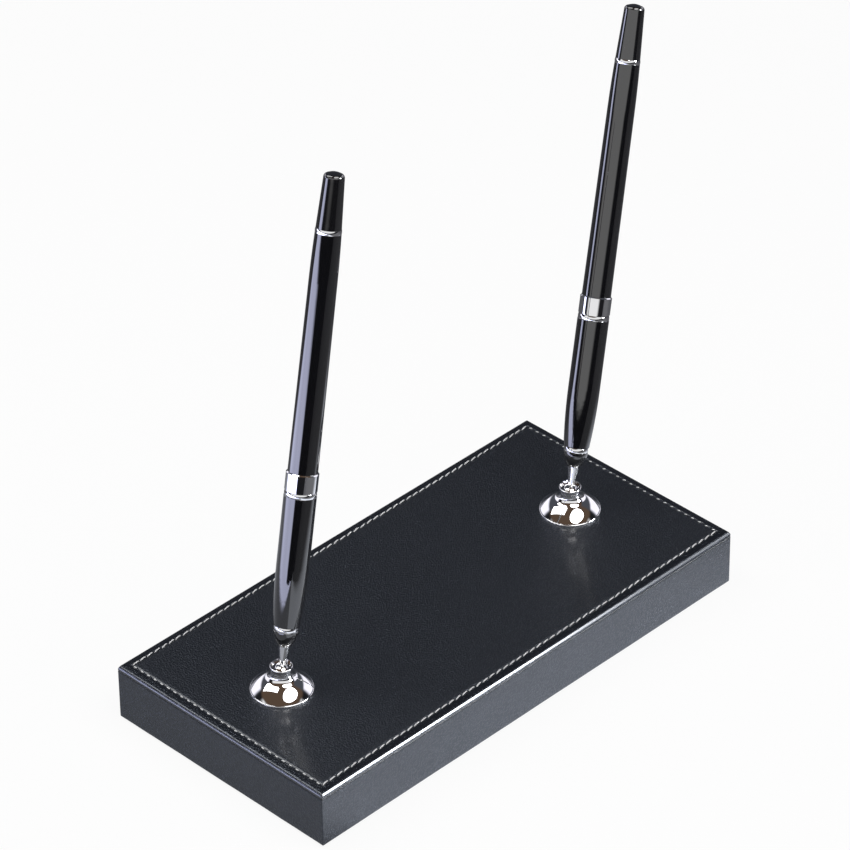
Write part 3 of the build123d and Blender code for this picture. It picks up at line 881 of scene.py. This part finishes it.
# %% Stitches
thread_radius = (0.25 * mm, 0.24 * mm)
thread_slant = radians(10)
stitch_fill = (0.94, 0.46)
short_side_sink = 0.50 * mm
arch_height, arch_foot = 0.30 * mm, 0.20 * mm
widest_sway = 0.45 * mm
rings_per_thread = 9
points_per_ring = 8
wobble_turn, wobble_along, wobble_across = 0.05, 0.05 * mm, 0.04 * mm


def one_stitch(pitch, thickness, fill, sink):
    """Tube along an arch: x runs along the seam, z is the arch's height, and the ends close to a point.

    Sink pulls the far end of the arch down into the leather."""
    t = np.linspace(0, 1, rings_per_thread)
    x = (t - 0.5) * pitch * fill
    rise = arch_height * (1 - (2 * t - 1) ** 4) - arch_foot - sink * t
    radius = thickness * (1 - 0.93 * np.abs(2 * t - 1) ** 7)
    around = np.arange(points_per_ring) * tau / points_per_ring
    ring = np.stack([0 * around, np.cos(around), 0.85 * np.sin(around)], 1)
    centre = np.stack([x, 0 * x, rise], 1)
    body = centre[:, None, :] + radius[:, None, None] * ring[None]
    body[..., 1] += np.clip(body[..., 0] * np.tan(thread_slant), -widest_sway, widest_sway)
    return body.reshape(-1, 3)


def make_stitches(material):
    """A copy of the stitch at every place of the four sides, each turned and shifted by a hair at random."""
    seam_height = panel_top - crease_depth + arch_foot
    random = np.random.default_rng(7)
    points = []
    for quarter in range(4):
        count = stitch_counts[quarter % 2]
        along = (half_length, half_width)[quarter % 2] - seam_inset
        across = (half_width, half_length)[quarter % 2] - seam_inset
        pitch = 2 * along / count
        centres = -along + pitch * (np.arange(count) + 0.5)
        shape = one_stitch(pitch, thread_radius[quarter % 2], stitch_fill[quarter % 2],
                           short_side_sink * (quarter % 2))
        for centre in centres:
            jitter = random.normal(0, 1, 3)
            tilt = wobble_turn * jitter[0]
            x = centre + shape[:, 0] * cos(tilt) - shape[:, 1] * sin(tilt) + wobble_along * jitter[1]
            y = -across + shape[:, 0] * sin(tilt) + shape[:, 1] * cos(tilt) + wobble_across * jitter[2]
            turn = quarter * pi / 2
            points.append(np.stack([x * cos(turn) - y * sin(turn), x * sin(turn) + y * cos(turn),
                                    seam_height + shape[:, 2]], 1))
    tube = ring_faces(rings_per_thread, points_per_ring)
    last_ring = len(points[0]) - points_per_ring
    caps = [list(range(points_per_ring))[::-1], list(range(last_ring, len(points[0])))]
    faces = []
    for number in range(len(points)):
        first = number * len(points[0])
        faces += (tube + first).tolist() + [[first + k for k in cap] for cap in caps]
    piece = new_piece("seam_thread", np.concatenate(points).tolist(), faces, material, "stand")
    uv = piece.data.uv_layers.new(name="UVMap")
    corner = np.empty(len(piece.data.loops), int)
    piece.data.loops.foreach_get("vertex_index", corner)
    in_stitch = corner % len(points[0])
    along_thread = (in_stitch // points_per_ring) / (rings_per_thread - 1)
    round_thread = (in_stitch % points_per_ring) / points_per_ring
    uv.data.foreach_set("uv", np.stack([along_thread, round_thread], 1).ravel())
    print("stitches", len(points), "faces", len(piece.data.polygons))
    return piece


make_stitches(pale_thread())
